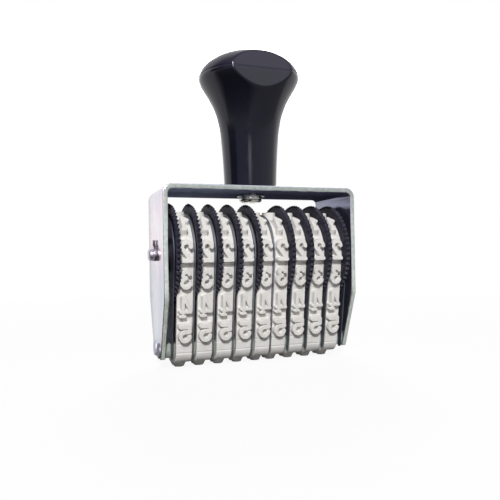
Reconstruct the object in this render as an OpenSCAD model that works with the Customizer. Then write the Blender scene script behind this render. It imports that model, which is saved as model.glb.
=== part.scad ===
// Hand numbering stamp with nine thumbwheels and nine endless rubber bands.
// Millimetres. +Z is up, the front is -Y, +X is to the right seen from the front.
// The origin lies on the printing plane, under the middle of the platen.

/* [Frame] */
// Thickness of the frame's steel sheet
sheet_t = 1.0; // [0.8:0.1:1.2]
// Depth of the frame, front to back, above its taper
frame_depth = 16.4; // [15.4:0.2:20]
// Inner radius of the frame's two bends
bend_r = 1.0; // [0.6:0.1:1.6]
// Clearance between the wheels and the underside of the frame's top
top_clearance = 2.15; // [1.9:0.05:4.5]
// Distance below the axle at which the side plates start to taper
taper_drop = 8.6; // [6:0.1:10]
// Depth of the side plates at their lower edge
foot_depth = 6.9; // [6:0.1:9]
// Height of the side plates' lower edge above the printing plane
foot_clearance = 2.1; // [1.8:0.1:2.6]

/* [Axle] */
// Height of the axle above the printing plane
axle_height = 22.7; // [21.8:0.1:26]
// Diameter of the axle
axle_d = 2.5; // [2:0.1:3.2]
// Length of axle that stands out of each side plate
axle_end = 1.5; // [1.3:0.1:2.5]
// Thickness of the axle's retaining clips
clip_t = 0.5; // [0.4:0.1:0.6]
// Outside diameter of the retaining clips
clip_d = 3.8; // [3.4:0.1:4.4]
// Reach of a clip's tab above the middle of the axle
clip_tab = 2.9; // [2.4:0.1:3.4]
// Thickness of the washers between the outer separators and the side plates
end_washer_t = 0.95; // [0.6:0.05:1.6]
// Diameter of those washers
end_washer_d = 7.5; // [6:0.5:9]

/* [Thumbwheels] */
// Diameter over the wheel's teeth
wheel_d = 20.7; // [20:0.1:21]
// Number of rounded teeth on a wheel
tooth_count = 58; // [44:1:72]
// Height of a tooth
tooth_h = 0.5; // [0.3:0.05:0.7]
// Thickness of the wheel's disc
wheel_t = 0.6; // [0.5:0.05:0.9]
// Diameter of the hub that carries the band
hub_d = 12.8; // [12:0.1:13.4]
// Depth of the dished recess in the wheel's open face
dish_depth = 0.2; // [0.1:0.05:0.3]

/* [Bands] */
// Width of a rubber band
band_w = 3.1; // [2.8:0.05:3.4]
// Thickness of the band without its characters
band_t = 1.0; // [0.8:0.05:1.2]
// Height of the raised characters above the band
relief = 1.2; // [0.9:0.05:1.3]
// Height of a character
char_h = 4.1; // [3.4:0.1:4.4]
// Width of a character
char_w = 2.6; // [2.2:0.05:2.8]
// Width of the strokes of a character
stroke = 0.8; // [0.6:0.05:0.9]
// Distance from one character to the next along the band
char_pitch = 5.15; // [4.9:0.05:5.3]
// How far the printing character stands behind the middle of the platen
row_shift = 1.2; // [0:0.1:1.4]

/* [Separators and platen] */
// Thickness of the steel plates at both sides of each unit
separator_t = 0.2; // [0.15:0.05:0.4]
// How far a separator's round head stays behind the side plates' edges
separator_inset = 0; // [0:0.05:0.4]
// Depth of the platen bar, front to back
platen_depth = 7.4; // [6.6:0.1:7.6]
// Height of the platen bar
platen_h = 3.0; // [2.5:0.1:4]
// Radius of the platen bar's two lower edges
platen_r = 1.6; // [1.2:0.1:2]
// Diameter of the rivets that hold the bar between the side plates
rivet_d = 1.8; // [1.4:0.1:2]
// Diameter of the rivets' heads
rivet_head_d = 3; // [2.4:0.1:3.2]
// Height of the rivets' heads
rivet_head_h = 0.2; // [0.1:0.05:0.4]
// Length of a rivet inside the bar
rivet_grip = 4; // [3:0.5:6]

/* [Handle] */
// Height of the handle above the frame
handle_h = 29.2; // [26:0.2:36]
// Diameter of the neck where it meets the frame
neck_d = 11; // [10:0.5:12]
// Largest diameter of the head
head_d = 21.3; // [19:0.1:24]
// Height of the dome above the widest line of the head
dome_h = 5.7; // [5:0.1:7]
// Height over which the neck flares out to the head
flare_len = 6.7; // [5:0.1:8]
// Distance of the flat on the head from the handle's axis
flat_dist = 8.55; // [8:0.05:9.4]
// Lean of that flat from the upright
flat_lean = 3.7; // [0:0.1:8]

/* [Handle fastening] */
// Diameter of the handle screw
screw_d = 3; // [2.5:0.1:3.5]
// Diameter of the screw's head
screw_head_d = 5; // [4.8:0.1:5.6]
// Height of the screw's head
screw_head_h = 1.3; // [1:0.1:1.4]
// Length of screw that reaches into the handle
screw_grip = 7; // [5:0.5:9]
// Thickness of the toothed lock washer
lock_t = 0.4; // [0.3:0.05:0.5]
// Diameter of the lock washer over its teeth
lock_d = 5.9; // [5.6:0.1:7]
// Length of the brass insert in the handle
insert_l = 8; // [6:0.5:10]
// Diameter of the brass insert
insert_d = 5; // [4.6:0.1:6]

/* [Hidden] */
$fn = 96;
units = 9;          // numbering units, side by side on the axle
left_units = 5;     // units whose wheel is at the left of the band
play = 0.05;        // running gap beside a turning piece
run_gap = 0.05;     // radial gap around a shaft or a hub
seat_gap = 0.02;    // radial gap of a fixed piece in its seat
over = 1;           // how far a cutting shape runs past a face

// Stack along the axle
hub_len = band_w + 2 * play;
unit_len = wheel_t + hub_len;
unit_pitch = unit_len + separator_t + 2 * play;
stack_len = units * unit_pitch - separator_t - 2 * play;
inner_w = stack_len + 2 * (play + separator_t + end_washer_t);
frame_w = inner_w + 2 * sheet_t;
function unit_x(i) = -stack_len / 2 + (i - 1) * unit_pitch;
function wheel_left(i) = i <= left_units;
function disc_x(i) = unit_x(i) + (wheel_left(i) ? 0 : hub_len);
function band_x(i) = unit_x(i) + play + (wheel_left(i) ? wheel_t : 0);

// Closed path of a band in the plane across the axle, seen with the axle at
// the origin: round the hub, straight down, and round the platen bar.
axle_r = axle_d / 2;
wheel_r = wheel_d / 2;
hub_r = hub_d / 2;
belt_r = hub_r + run_gap;
nose_x = platen_depth / 2 - platen_r;
nose_z = axle_height - relief - band_t - platen_r;
centre_dist = sqrt(nose_x ^ 2 + nose_z ^ 2);
lean = atan2(-nose_z, nose_x) + acos((belt_r - platen_r) / centre_dist);
neutral = band_t / 2;
run_flat = nose_x;
run_nose = (platen_r + neutral) * (lean + 90) * PI / 180;
run_side = sqrt(centre_dist ^ 2 - (belt_r - platen_r) ^ 2);
run_hub = (belt_r + neutral) * (90 - lean) * PI / 180;
half_path = run_flat + run_nose + run_side + run_hub;

// Forward and up coordinates and outward direction at a distance s along the
// front half of the path, on the surface that lies o outside the inner one.
function path_half(s, o) =
    s < run_flat ? [s, -nose_z - platen_r - o, -90] :
    s < run_flat + run_nose ? on_nose(-90 + (s - run_flat) / (platen_r + neutral) * 180 / PI, o) :
    s < run_flat + run_nose + run_side ? on_side(s - run_flat - run_nose, o) :
    on_hub(lean + (s - run_flat - run_nose - run_side) / (belt_r + neutral) * 180 / PI, o);
function on_nose(a, o) = [nose_x + (platen_r + o) * cos(a), -nose_z + (platen_r + o) * sin(a), a];
function on_side(d, o) = on_nose(lean, o) + [-d * sin(lean), d * cos(lean), 0];
function on_hub(a, o) = [(belt_r + o) * cos(a), (belt_r + o) * sin(a), a];
function mirrored(p) = [-p[0], p[1], 180 - p[2]];
function path(s, o) = s < 0 ? path(s + 2 * half_path, o) :
    s <= half_path ? path_half(s, o) : mirrored(path_half(2 * half_path - s, o));

// Characters by their place, counted up the front from the printing row.
// Ten is the dash, and a place that isn't listed is blank.
characters = [[0, 6], [2, 5], [3, 4], [4, 3], [5, 2], [6, 1], [7, 0], [-1, 7], [-2, 8], [-3, 9], [-4, 10]];
char_root = 0.4;    // how deep a character is rooted in the band

// Frame
frame_under = axle_height + wheel_r + top_clearance;
frame_top = frame_under + sheet_t;
taper_z = axle_height - taper_drop;
bend_out = bend_r + sheet_t;

// Separators
separator_r = frame_depth / 2 - separator_inset;
separator_edge = 0.3;   // how far a separator's lower end stands proud of the bands

// Platen bar
platen_bottom = relief + band_t;
rivet_z = platen_bottom + platen_h / 2;
rivet_y = nose_x;
rivet_r = rivet_d / 2;

// Axle and clips
axle_len = frame_w + 2 * axle_end;
groove_r = axle_r * 0.8;
groove_gap = 0.1;   // gap between a clip and the side plate
clip_grip = 0.1;    // how far a clip's opening is narrower than its groove
clip_opening = 2 * groove_r - clip_grip;
clip_tab_w = 0.7;

// Wheel
tooth_root = wheel_r - tooth_h;
dish_rim = 1;       // ring left below the teeth
boss_step = 2;      // how far the boss is smaller than the hub
dish_outer = tooth_root - dish_rim;
dish_inner = hub_r - boss_step;
tooth_steps = 6;    // corners along one rounded tooth
function tooth_rise(j) = sqrt(1 - (2 * j / tooth_steps - 1) ^ 2);

// Handle
screw_r = screw_d / 2;
head_r = head_d / 2;
neck_r = neck_d / 2;
neck_taper = 0.035; // growth of the neck's radius for each millimetre of height
rim_h = handle_h - dome_h;
flare_gain = head_r - neck_r - neck_taper * rim_h;
function ease(x) = 3 * x ^ 2 - 2 * x ^ 3;
function handle_r(z) = neck_r + neck_taper * z + flare_gain * ease(exp((z - rim_h) / flare_len));
tip_room = 2;       // free bore above the screw's tip
washer_z = frame_under - lock_t;
lock_teeth = 9;
lock_gap_w = 0.7;   // width of the gaps between the lock washer's teeth
lock_gap_in = 0.35; // how far those gaps reach in under the screw's head
slot_w = 0.7;       // width of the slot in the screw's head
slot_depth = 0.6;

// Stands a flat shape across the axle at x, and gives it a thickness in +X.
// The shape's own x runs to the back and its y runs up, from the axle.
module across(x, thickness) {
    translate([x, 0, axle_height]) rotate([90, 0, 90]) linear_extrude(thickness) children();
}

// Outline round a hub circle and the two corner circles of the platen.
module paddle_2d(head_radius, corner_radius) {
    turn = atan2(-nose_z, nose_x) + acos((head_radius - corner_radius) / centre_dist);
    top = head_radius * [cos(turn), sin(turn)];
    low = [nose_x, -nose_z] + corner_radius * [cos(turn), sin(turn)];
    foot = [nose_x, -nose_z - corner_radius];
    circle(r = head_radius);
    for (m = [-1, 1]) translate([m * nose_x, -nose_z]) circle(r = corner_radius);
    polygon([[-top[0], top[1]], [-low[0], low[1]], [-foot[0], foot[1]], foot, low, top]);
}

// One straight stroke between two points, with square ends.
module line_2d(a, b) {
    d = b - a;
    translate(a) rotate(atan2(d[1], d[0])) translate([0, -stroke / 2]) square([norm(d), stroke]);
}

// A stroke that runs round a centre from one angle to another.
module arc_2d(c, r, from, to) {
    steps = ceil((to - from) / 60);
    translate(c) intersection() {
        difference() {
            circle(r = r);
            circle(r = r - stroke);
        }
        polygon([[0, 0], for (k = [0:steps]) 3 * r * [
            cos(from + k * (to - from) / steps), sin(from + k * (to - from) / steps)]]);
    }
}

// The characters, upright and centred, as they read on paper.
module char_2d(n) {
    w = char_w / 2;
    h = char_h / 2;
    m = w - stroke / 2;     // middle of an outer upright stroke
    e = h - stroke / 2;     // middle of a top or bottom stroke
    b = h - w;              // height of the centre of an end bow
    g = (h + stroke / 2) / 2;   // radius of each bow of a three or an eight
    if (n == 0) {
        arc_2d([0, b], w, 0, 180);
        arc_2d([0, -b], w, 180, 360);
        for (x = [-m, m]) line_2d([x, -b], [x, b]);
    }
    if (n == 1) {
        line_2d([w / 8, -h], [w / 8, h]);
        line_2d([-w * 0.6, h * 0.4], [w * 0.22, h * 0.82]);
    }
    if (n == 2) {
        arc_2d([0, b], w, -30, 180);
        line_2d([m * cos(30), b - m * sin(30)], [-m, -e]);
        line_2d([-w, -e], [w, -e]);
    }
    if (n == 3) {
        arc_2d([0, h - g], g, -90, 160);
        arc_2d([0, g - h], g, -160, 90);
    }
    if (n == 4) {
        line_2d([w * 0.36, -h], [w * 0.36, h]);
        line_2d([-w, -h * 0.45], [w, -h * 0.45]);
        line_2d([-m, -h * 0.45], [w * 0.36, e]);
    }
    if (n == 5) {
        line_2d([-m, e], [w, e]);
        line_2d([-m, 0], [-m, h]);
        arc_2d([0, -b], w, -150, 120);
        line_2d([-m, h * 0.15], [0, w - b - stroke / 2]);
    }
    if (n == 6) {
        arc_2d([0, -b], w, 0, 360);
        line_2d([-m, -b], [-m, b]);
        arc_2d([0, b], w, 20, 180);
    }
    if (n == 7) {
        line_2d([-w, e], [w, e]);
        line_2d([m, h], [-w * 0.27, -h]);
    }
    if (n == 8) for (s = [-1, 1]) arc_2d([0, s * (h - g)], g, 0, 360);
    if (n == 9) rotate(180) char_2d(6);
    if (n == 10) line_2d([-w, 0], [w, 0]);
}

// Moulded plastic handle with a flat on the front of its head.
module handle() {
    color([0.07, 0.07, 0.08]) difference() {
        translate([0, 0, frame_top]) rotate_extrude() polygon([
            [0, 0],
            for (k = [0:24]) [handle_r(rim_h * k / 24), rim_h * k / 24],
            for (k = [1:12]) [head_r * cos(k * 7.5), rim_h + dome_h * sin(k * 7.5)]
        ]);
        translate([0, 0, frame_top - over]) cylinder(r = insert_d / 2 + seat_gap, h = insert_l + over);
        translate([0, 0, frame_top + insert_l - over]) cylinder(r = screw_r + run_gap, h = over + tip_room);
        translate([0, 0, frame_top + rim_h]) rotate([-flat_lean, 0, 0])
            translate([-head_r, -flat_dist - head_r, -head_r]) cube([head_d, head_r, head_d]);
    }
}

// Threaded brass insert moulded into the neck.
module handle_insert() {
    color([0.78, 0.62, 0.3]) translate([0, 0, frame_top]) difference() {
        cylinder(r = insert_d / 2, h = insert_l);
        translate([0, 0, -over]) cylinder(r = screw_r + seat_gap, h = insert_l + 2 * over);
    }
}

// Slotted screw that holds the handle from below.
module handle_screw() {
    dome_r = screw_head_h * 0.6;
    flat_r = screw_head_d / 2 - dome_r;
    color([0.6, 0.6, 0.58]) union() {
        translate([0, 0, washer_z - over]) cylinder(r = screw_r, h = frame_top + screw_grip - washer_z + over);
        difference() {
            translate([0, 0, washer_z]) mirror([0, 0, 1]) rotate_extrude() union() {
                square([flat_r, screw_head_h]);
                square([screw_head_d / 2, screw_head_h - dome_r]);
                translate([flat_r, screw_head_h - dome_r]) intersection() {
                    circle(r = dome_r);
                    square(dome_r);
                }
            }
            translate([-slot_w / 2, -screw_head_d, washer_z - screw_head_h - over])
                cube([slot_w, 2 * screw_head_d, slot_depth + over]);
        }
    }
}

// External-tooth lock washer between the screw's head and the frame.
module lock_washer() {
    tooth_turn = 360 / lock_teeth;
    color([0.55, 0.55, 0.52]) translate([0, 0, washer_z]) linear_extrude(lock_t) difference() {
        circle(r = lock_d / 2);
        circle(r = screw_r + run_gap);
        for (k = [0:lock_teeth - 1]) rotate(k * tooth_turn)
            translate([screw_head_d / 2 - lock_gap_in, -lock_gap_w / 2]) square([lock_d, lock_gap_w]);
    }
}

// Frame bent from one steel sheet, its side plates tapering to the platen.
module frame() {
    half = frame_w / 2;
    corner_x = half - bend_out;
    corner_z = frame_top - bend_out;
    color([0.82, 0.84, 0.82]) difference() {
        intersection() {
            translate([0, frame_depth / 2, 0]) rotate([90, 0, 0]) linear_extrude(frame_depth) difference() {
                union() {
                    translate([-half, foot_clearance]) square([frame_w, corner_z - foot_clearance]);
                    translate([-corner_x, corner_z]) square([2 * corner_x, bend_out]);
                    for (m = [-1, 1]) translate([m * corner_x, corner_z]) circle(r = bend_out);
                }
                translate([-inner_w / 2, foot_clearance - over])
                    square([inner_w, corner_z - foot_clearance + over]);
                translate([-corner_x, corner_z]) square([2 * corner_x, bend_r]);
                for (m = [-1, 1]) translate([m * corner_x, corner_z]) circle(r = bend_r);
            }
            translate([-half - over, 0, 0]) rotate([90, 0, 90]) linear_extrude(frame_w + 2 * over) polygon([
                [-foot_depth / 2, foot_clearance], [foot_depth / 2, foot_clearance],
                [frame_depth / 2, taper_z], [frame_depth / 2, frame_top + over],
                [-frame_depth / 2, frame_top + over], [-frame_depth / 2, taper_z]
            ]);
        }
        across(-half - over, frame_w + 2 * over) circle(r = axle_r + seat_gap);
        for (y = [-rivet_y, rivet_y]) across(-half - over, frame_w + 2 * over)
            translate([y, rivet_z - axle_height]) circle(r = rivet_r + seat_gap);
        translate([0, 0, frame_under - over]) cylinder(r = screw_r + run_gap, h = sheet_t + 2 * over);
    }
}

// Fixed steel axle with a groove for a clip near each end.
module axle() {
    groove_x = frame_w / 2 + groove_gap / 2;
    color([0.78, 0.78, 0.76]) difference() {
        across(-axle_len / 2, axle_len) circle(r = axle_r);
        for (m = [0, 1]) mirror([m, 0, 0]) across(groove_x, clip_t + groove_gap) difference() {
            circle(r = axle_r + over);
            circle(r = groove_r);
        }
    }
}

// Open retaining clip pushed onto the axle from above.
module axle_clip(x) {
    color([0.35, 0.35, 0.36]) across(x, clip_t) difference() {
        union() {
            circle(r = clip_d / 2);
            translate([-clip_tab_w / 2, 0]) square([clip_tab_w, clip_tab]);
        }
        circle(r = groove_r + seat_gap);
        translate([-clip_opening / 2, -clip_d]) square([clip_opening, clip_d]);
        translate([-clip_d, -clip_d - axle_r]) square([2 * clip_d, clip_d]);
    }
}

module axle_clip_left() {
    axle_clip(-frame_w / 2 - groove_gap - clip_t);
}

module axle_clip_right() {
    axle_clip(frame_w / 2 + groove_gap);
}

// Plain washer between a side plate and the outer separator next to it.
module end_washer(x) {
    color([0.7, 0.7, 0.68]) across(x, end_washer_t) difference() {
        circle(r = end_washer_d / 2);
        circle(r = axle_r + run_gap);
    }
}

module end_washer_left() {
    end_washer(-inner_w / 2);
}

module end_washer_right() {
    end_washer(inner_w / 2 - end_washer_t);
}

// Bar that the bands are pressed against, riveted between the side plates.
module platen_bar() {
    grip = rivet_grip + run_gap;
    color([0.68, 0.72, 0.68]) difference() {
        across(-inner_w / 2, inner_w) translate([0, -nose_z]) union() {
            for (m = [-1, 1]) translate([m * nose_x, 0]) circle(r = platen_r);
            translate([-nose_x, -platen_r]) square([2 * nose_x, platen_h]);
            translate([-platen_depth / 2, 0]) square([platen_depth, platen_h - platen_r]);
        }
        for (y = [-rivet_y, rivet_y], x = [-inner_w / 2 - over, inner_w / 2 - grip])
            across(x, grip + over) translate([y, rivet_z - axle_height]) circle(r = rivet_r + seat_gap);
    }
}

// Rivet through a side plate into the bar. Its head is outside; +1 is right, and back.
module rivet(side, end) {
    color([0.35, 0.35, 0.36]) mirror([side < 0 ? 1 : 0, 0, 0]) union() {
        across(inner_w / 2 - rivet_grip, rivet_grip + sheet_t + rivet_head_h)
            translate([end * rivet_y, rivet_z - axle_height]) circle(r = rivet_r);
        across(frame_w / 2, rivet_head_h)
            translate([end * rivet_y, rivet_z - axle_height]) circle(r = rivet_head_d / 2);
    }
}

module rivet_left_front() {
    rivet(-1, -1);
}

module rivet_left_back() {
    rivet(-1, 1);
}

module rivet_right_front() {
    rivet(1, -1);
}

module rivet_right_back() {
    rivet(1, 1);
}

// Toothed thumbwheel with its hub, turning on the axle.
module wheel(i) {
    disc = disc_x(i);
    dish_x = wheel_left(i) ? disc - over : disc + wheel_t - dish_depth;
    color([0.1, 0.1, 0.11]) difference() {
        union() {
            across(disc, wheel_t) polygon([
                for (k = [0:tooth_count - 1], j = [0:tooth_steps - 1])
                    let (a = (k + j / tooth_steps) * 360 / tooth_count, r = tooth_root + tooth_h * tooth_rise(j))
                        [r * cos(a), r * sin(a)]
            ]);
            across(unit_x(i), unit_len) circle(r = hub_r);
        }
        across(dish_x, dish_depth + over) difference() {
            circle(r = dish_outer);
            circle(r = dish_inner);
        }
        across(unit_x(i) - over, unit_len + 2 * over) circle(r = axle_r + run_gap);
    }
}

// Endless rubber band with its raised characters, mirrored for printing.
module band(i) {
    middle = band_x(i) + band_w / 2;
    color([0.82, 0.81, 0.78]) union() {
        across(band_x(i), band_w) difference() {
            paddle_2d(belt_r + band_t, platen_r + band_t);
            paddle_2d(belt_r, platen_r);
        }
        for (c = characters) {
            p = path(c[0] * char_pitch - row_shift, band_t);
            translate([middle, -p[0], axle_height + p[1]]) rotate([atan2(cos(p[2]), sin(p[2])), 0, 0])
                mirror([1, 0, 0]) translate([0, 0, -char_root]) linear_extrude(relief + char_root) char_2d(c[1]);
        }
    }
}

// Thin steel plate that keeps neighbouring bands apart, forked over the bar.
// It stands at the right of unit i, and zero is at the left of the first unit.
module separator(i) {
    fork_w = platen_depth + 2 * run_gap;
    fork_top = platen_bottom + platen_h + run_gap - axle_height;
    color([0.5, 0.51, 0.5]) across(unit_x(i) + unit_len + play, separator_t) difference() {
        paddle_2d(separator_r, platen_r + band_t + separator_edge);
        circle(r = axle_r + seat_gap);
        translate([-fork_w / 2, fork_top - wheel_r]) square([fork_w, wheel_r]);
        translate([-wheel_r, platen_bottom - axle_height - wheel_r]) square([wheel_d, wheel_r]);
    }
}

module end_separator_left() {
    separator(0);
}

module end_separator_right() {
    separator(units);
}

handle();
handle_insert();
handle_screw();
lock_washer();
frame();
axle();
axle_clip_left();
axle_clip_right();
end_washer_left();
end_washer_right();
end_separator_left();
end_separator_right();
platen_bar();
rivet_left_front();
rivet_left_back();
rivet_right_front();
rivet_right_back();
wheel(1);  // wheel_1
wheel(2);  // wheel_2
wheel(3);  // wheel_3
wheel(4);  // wheel_4
wheel(5);  // wheel_5
wheel(6);  // wheel_6
wheel(7);  // wheel_7
wheel(8);  // wheel_8
wheel(9);  // wheel_9
band(1);  // band_1
band(2);  // band_2
band(3);  // band_3
band(4);  // band_4
band(5);  // band_5
band(6);  // band_6
band(7);  // band_7
band(8);  // band_8
band(9);  // band_9
separator(1);  // separator_1
separator(2);  // separator_2
separator(3);  // separator_3
separator(4);  // separator_4
separator(5);  // separator_5
separator(6);  // separator_6
separator(7);  // separator_7
separator(8);  // separator_8
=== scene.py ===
# %% [markdown]
# # A hand numbering stamp with nine rubber bands
#
# The real object is a U of plated sheet steel under a black handle. An axle
# carries nine thin toothed wheels, and each wheel turns one endless rubber
# band with raised figures, mirrored so that they print the right way round.
#
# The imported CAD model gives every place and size. This lesson dresses it: the
# pieces that catch the light are built again as smooth surfaces worked out
# with numpy, and the small turned and cut pieces stay as they are and get a
# finish of their own.

import bpy
import numpy as np
from mathutils import Matrix


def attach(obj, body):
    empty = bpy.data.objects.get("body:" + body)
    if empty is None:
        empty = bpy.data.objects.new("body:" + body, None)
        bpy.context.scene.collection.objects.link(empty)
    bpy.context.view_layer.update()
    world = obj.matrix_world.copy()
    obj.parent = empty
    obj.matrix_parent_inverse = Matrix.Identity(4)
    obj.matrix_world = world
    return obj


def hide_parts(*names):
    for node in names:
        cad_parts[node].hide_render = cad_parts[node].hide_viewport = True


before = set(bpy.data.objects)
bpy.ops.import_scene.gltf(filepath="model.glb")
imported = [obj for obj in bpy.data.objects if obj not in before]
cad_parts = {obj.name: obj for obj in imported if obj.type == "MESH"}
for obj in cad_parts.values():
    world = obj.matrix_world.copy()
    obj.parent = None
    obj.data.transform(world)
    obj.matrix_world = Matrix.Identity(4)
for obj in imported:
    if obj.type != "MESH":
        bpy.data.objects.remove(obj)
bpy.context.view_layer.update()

MM = 0.001
scene = bpy.context.scene
scene.view_settings.view_transform = "Standard"

# %% [markdown]
# ## The camera
#
# A camera could be aimed by eye, but a stamp is mostly parallel edges, so a
# wrong angle shows at once. The place, the turn and the small roll were solved
# from straight edges and circles, and the matrix is filled in directly: its
# columns are the camera's right, its up and the way behind it. Places are in
# millimetres here and in every shape below, and MM turns them to metres.

# %% Place the camera
AXLE_Z = 22.7
eye = np.array([-39.481, -108.793, AXLE_Z - 0.324])
turn, tilt, roll = np.radians([19.796, 0.507, -0.959])
forward = np.array([np.sin(turn) * np.cos(tilt), np.cos(turn) * np.cos(tilt), np.sin(tilt)])
level_right = np.array([np.cos(turn), -np.sin(turn), 0.0])
level_up = np.cross(level_right, forward)
right = level_right * np.cos(roll) + level_up * np.sin(roll)
up = level_up * np.cos(roll) - level_right * np.sin(roll)

camera = bpy.data.objects.new("camera", bpy.data.cameras.new("camera"))
camera.data.sensor_width = 36.0
camera.data.lens = 38.91
camera.data.clip_start = 0.005
placing = np.eye(4)
placing[:3, :3] = np.column_stack([right, up, -forward])
placing[:3, 3] = eye * MM
camera.matrix_world = Matrix(placing.tolist())
scene.collection.objects.link(camera)
scene.camera = camera
print("camera at", (eye * MM).round(4))

# %% [markdown]
# ## A skin over rings of points
#
# Nearly every piece here is a row of rings: a lathe turning, a bent sheet, a
# belt. So one helper makes the mesh. It takes an array of points, ring by
# ring, joins each ring to the next with quads, and either joins the last ring
# to the first or closes both ends. The volume that the faces enclose has a
# sign, and a negative one says that they point inwards, so the helper turns
# them round.

# %% Make a closed mesh from rings
def shell(name, rings, loop=False, crease=30.0):
    """A closed skin in millimetres over rings[ring, point, xyz].

    Point j of ring i makes a quad with points j and j + 1 of ring i + 1. With
    loop, the last ring meets the first, and otherwise each end is a fan round
    the end ring's mean. Edges that bend more than crease degrees stay sharp.
    """
    count, around, _ = rings.shape
    i = np.arange(count if loop else count - 1)[:, None]
    j = np.arange(around)[None, :]
    after, beside = (i + 1) % count, (j + 1) % around
    quads = np.stack([
        i * around + j, i * around + beside, after * around + beside, after * around + j,
    ], -1).reshape(-1, 4)
    points = rings.reshape(-1, 3)
    fans = np.empty((0, 3), int)
    if not loop:
        first, last = count * around, count * around + 1
        points = np.vstack([points, rings[0].mean(0), rings[-1].mean(0)])
        j, beside, base = j[0], beside[0], (count - 1) * around
        fans = np.vstack([
            np.stack([np.full(around, first), beside, j], -1),
            np.stack([np.full(around, last), base + j, base + beside], -1),
        ])
    corners = np.vstack([quads[:, :3], quads[:, [0, 2, 3]], fans])
    a, b, c = points[corners].transpose(1, 0, 2)
    if np.einsum("ij,ij->", a, np.cross(b, c)) < 0:
        quads, fans = quads[:, ::-1], fans[:, ::-1]

    mesh = bpy.data.meshes.new(name)
    mesh.vertices.add(len(points))
    mesh.vertices.foreach_set("co", (points * MM).astype(np.float32).ravel())
    mesh.loops.add(quads.size + fans.size)
    face_corners = np.concatenate([quads.ravel(), fans.ravel()]).astype(np.int32)
    mesh.loops.foreach_set("vertex_index", face_corners)
    mesh.polygons.add(len(quads) + len(fans))
    starts = np.concatenate([np.arange(len(quads)) * 4, quads.size + np.arange(len(fans)) * 3])
    mesh.polygons.foreach_set("loop_start", starts.astype(np.int32))
    mesh.update(calc_edges=True)
    mesh.validate()
    mesh.shade_smooth()
    mesh.set_sharp_from_angle(angle=np.radians(crease))
    piece = bpy.data.objects.new(name, mesh)
    scene.collection.objects.link(piece)
    return piece


def dress(piece, node, body, slot, *finishes):
    """Puts a finished piece in place of a CAD node, on its body, with its finishes."""
    for finish in finishes:
        piece.data.materials.append(finish)
    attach(piece, body)
    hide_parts(node)
    print(f"{piece.name}: {len(piece.data.polygons)} faces, stands for {node}")


def turned(profile, columns, axis="z", loop=False):
    """Rings of a lathe turning: profile[k] = (distance along the axis, radius)."""
    angle = np.linspace(0, 2 * np.pi, columns, endpoint=False)[None, :]
    along, radius = profile[:, :1], profile[:, 1:2]
    first, second = radius * np.cos(angle), radius * np.sin(angle)
    along = np.broadcast_to(along, first.shape)
    order = (first, second, along) if axis == "z" else (along, first, second)
    return np.stack(order, -1)


# %% [markdown]
# ## Small tools for finishes
#
# A real surface is never one flat colour: plating drifts in tint, rubber is
# mottled, moulded plastic has a faint ripple. Each finish below is a few noise
# textures in object coordinates, so it stays on the piece when it turns.

# %% Node helpers
def new_finish(name, **sockets):
    """A material with its shader's constant sockets set; returns it with its tree and shader."""
    material = bpy.data.materials.new(name)
    material.use_nodes = True
    shader = material.node_tree.nodes["Principled BSDF"]
    for socket, value in sockets.items():
        shader.inputs[socket.replace("_", " ")].default_value = value
    return material, material.node_tree, shader


def noise(tree, size_mm, detail=2.0, stretch=(1, 1, 1)):
    """Noise whose grains are about size_mm across, longer where stretch is below 1."""
    coordinates = tree.nodes.new("ShaderNodeTexCoord")
    mapping = tree.nodes.new("ShaderNodeMapping")
    mapping.inputs["Scale"].default_value = stretch
    texture = tree.nodes.new("ShaderNodeTexNoise")
    texture.inputs["Scale"].default_value = 1.0 / (size_mm * MM)
    texture.inputs["Detail"].default_value = detail
    tree.links.new(coordinates.outputs["Object"], mapping.inputs["Vector"])
    tree.links.new(mapping.outputs["Vector"], texture.inputs["Vector"])
    return texture.outputs["Fac"]


def ramp(tree, value, *stops):
    """Colours at places from 0 to 1 of a value: stops are (place, (r, g, b))."""
    node = tree.nodes.new("ShaderNodeValToRGB")
    band = node.color_ramp
    while len(band.elements) < len(stops):
        band.elements.new(0.5)
    for element, (place, colour) in zip(band.elements, stops):
        element.position = place
        element.color = (*colour, 1.0)
    tree.links.new(value, node.inputs["Fac"])
    return node.outputs["Color"]


def spread(tree, value, low, high, start=0.3, end=0.7):
    """Maps values from start to end onto low to high; by default a noise's middle."""
    node = tree.nodes.new("ShaderNodeMapRange")
    numbers = {"From Min": start, "From Max": end, "To Min": low, "To Max": high}
    for socket, number in numbers.items():
        node.inputs[socket].default_value = number
    tree.links.new(value, node.inputs["Value"])
    return node.outputs["Result"]


def place_along(tree, axis):
    """The place on the object along X, Y or Z, in metres."""
    place = tree.nodes.new("ShaderNodeSeparateXYZ")
    tree.links.new(tree.nodes.new("ShaderNodeTexCoord").outputs["Object"], place.inputs[0])
    return place.outputs[axis]


def sideways(tree):
    """How far a surface faces along the axle, from 0 on a rim to 1 on a flat side."""
    facing = tree.nodes.new("ShaderNodeSeparateXYZ")
    tree.links.new(tree.nodes.new("ShaderNodeNewGeometry").outputs["Normal"], facing.inputs[0])
    size = tree.nodes.new("ShaderNodeMath")
    size.operation = "ABSOLUTE"
    tree.links.new(facing.outputs["X"], size.inputs[0])
    return size.outputs[0]


def combine(tree, operation, first, second):
    """One value from two by a maths operation; either of the two may be a plain number."""
    node = tree.nodes.new("ShaderNodeMath")
    node.operation = operation
    for socket, value in zip(node.inputs, (first, second)):
        if isinstance(value, float):
            socket.default_value = value
        else:
            tree.links.new(value, socket)
    return node.outputs[0]


def paint(tree, shader, value, *stops):
    """Colours the finish by a ramp over a value; stops as in ramp."""
    tree.links.new(ramp(tree, value, *stops), shader.inputs["Base Color"])


def roughen(tree, shader, value, low, high):
    """Lets the roughness go from low to high over the middle of a noise."""
    tree.links.new(spread(tree, value, low, high), shader.inputs["Roughness"])


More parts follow.
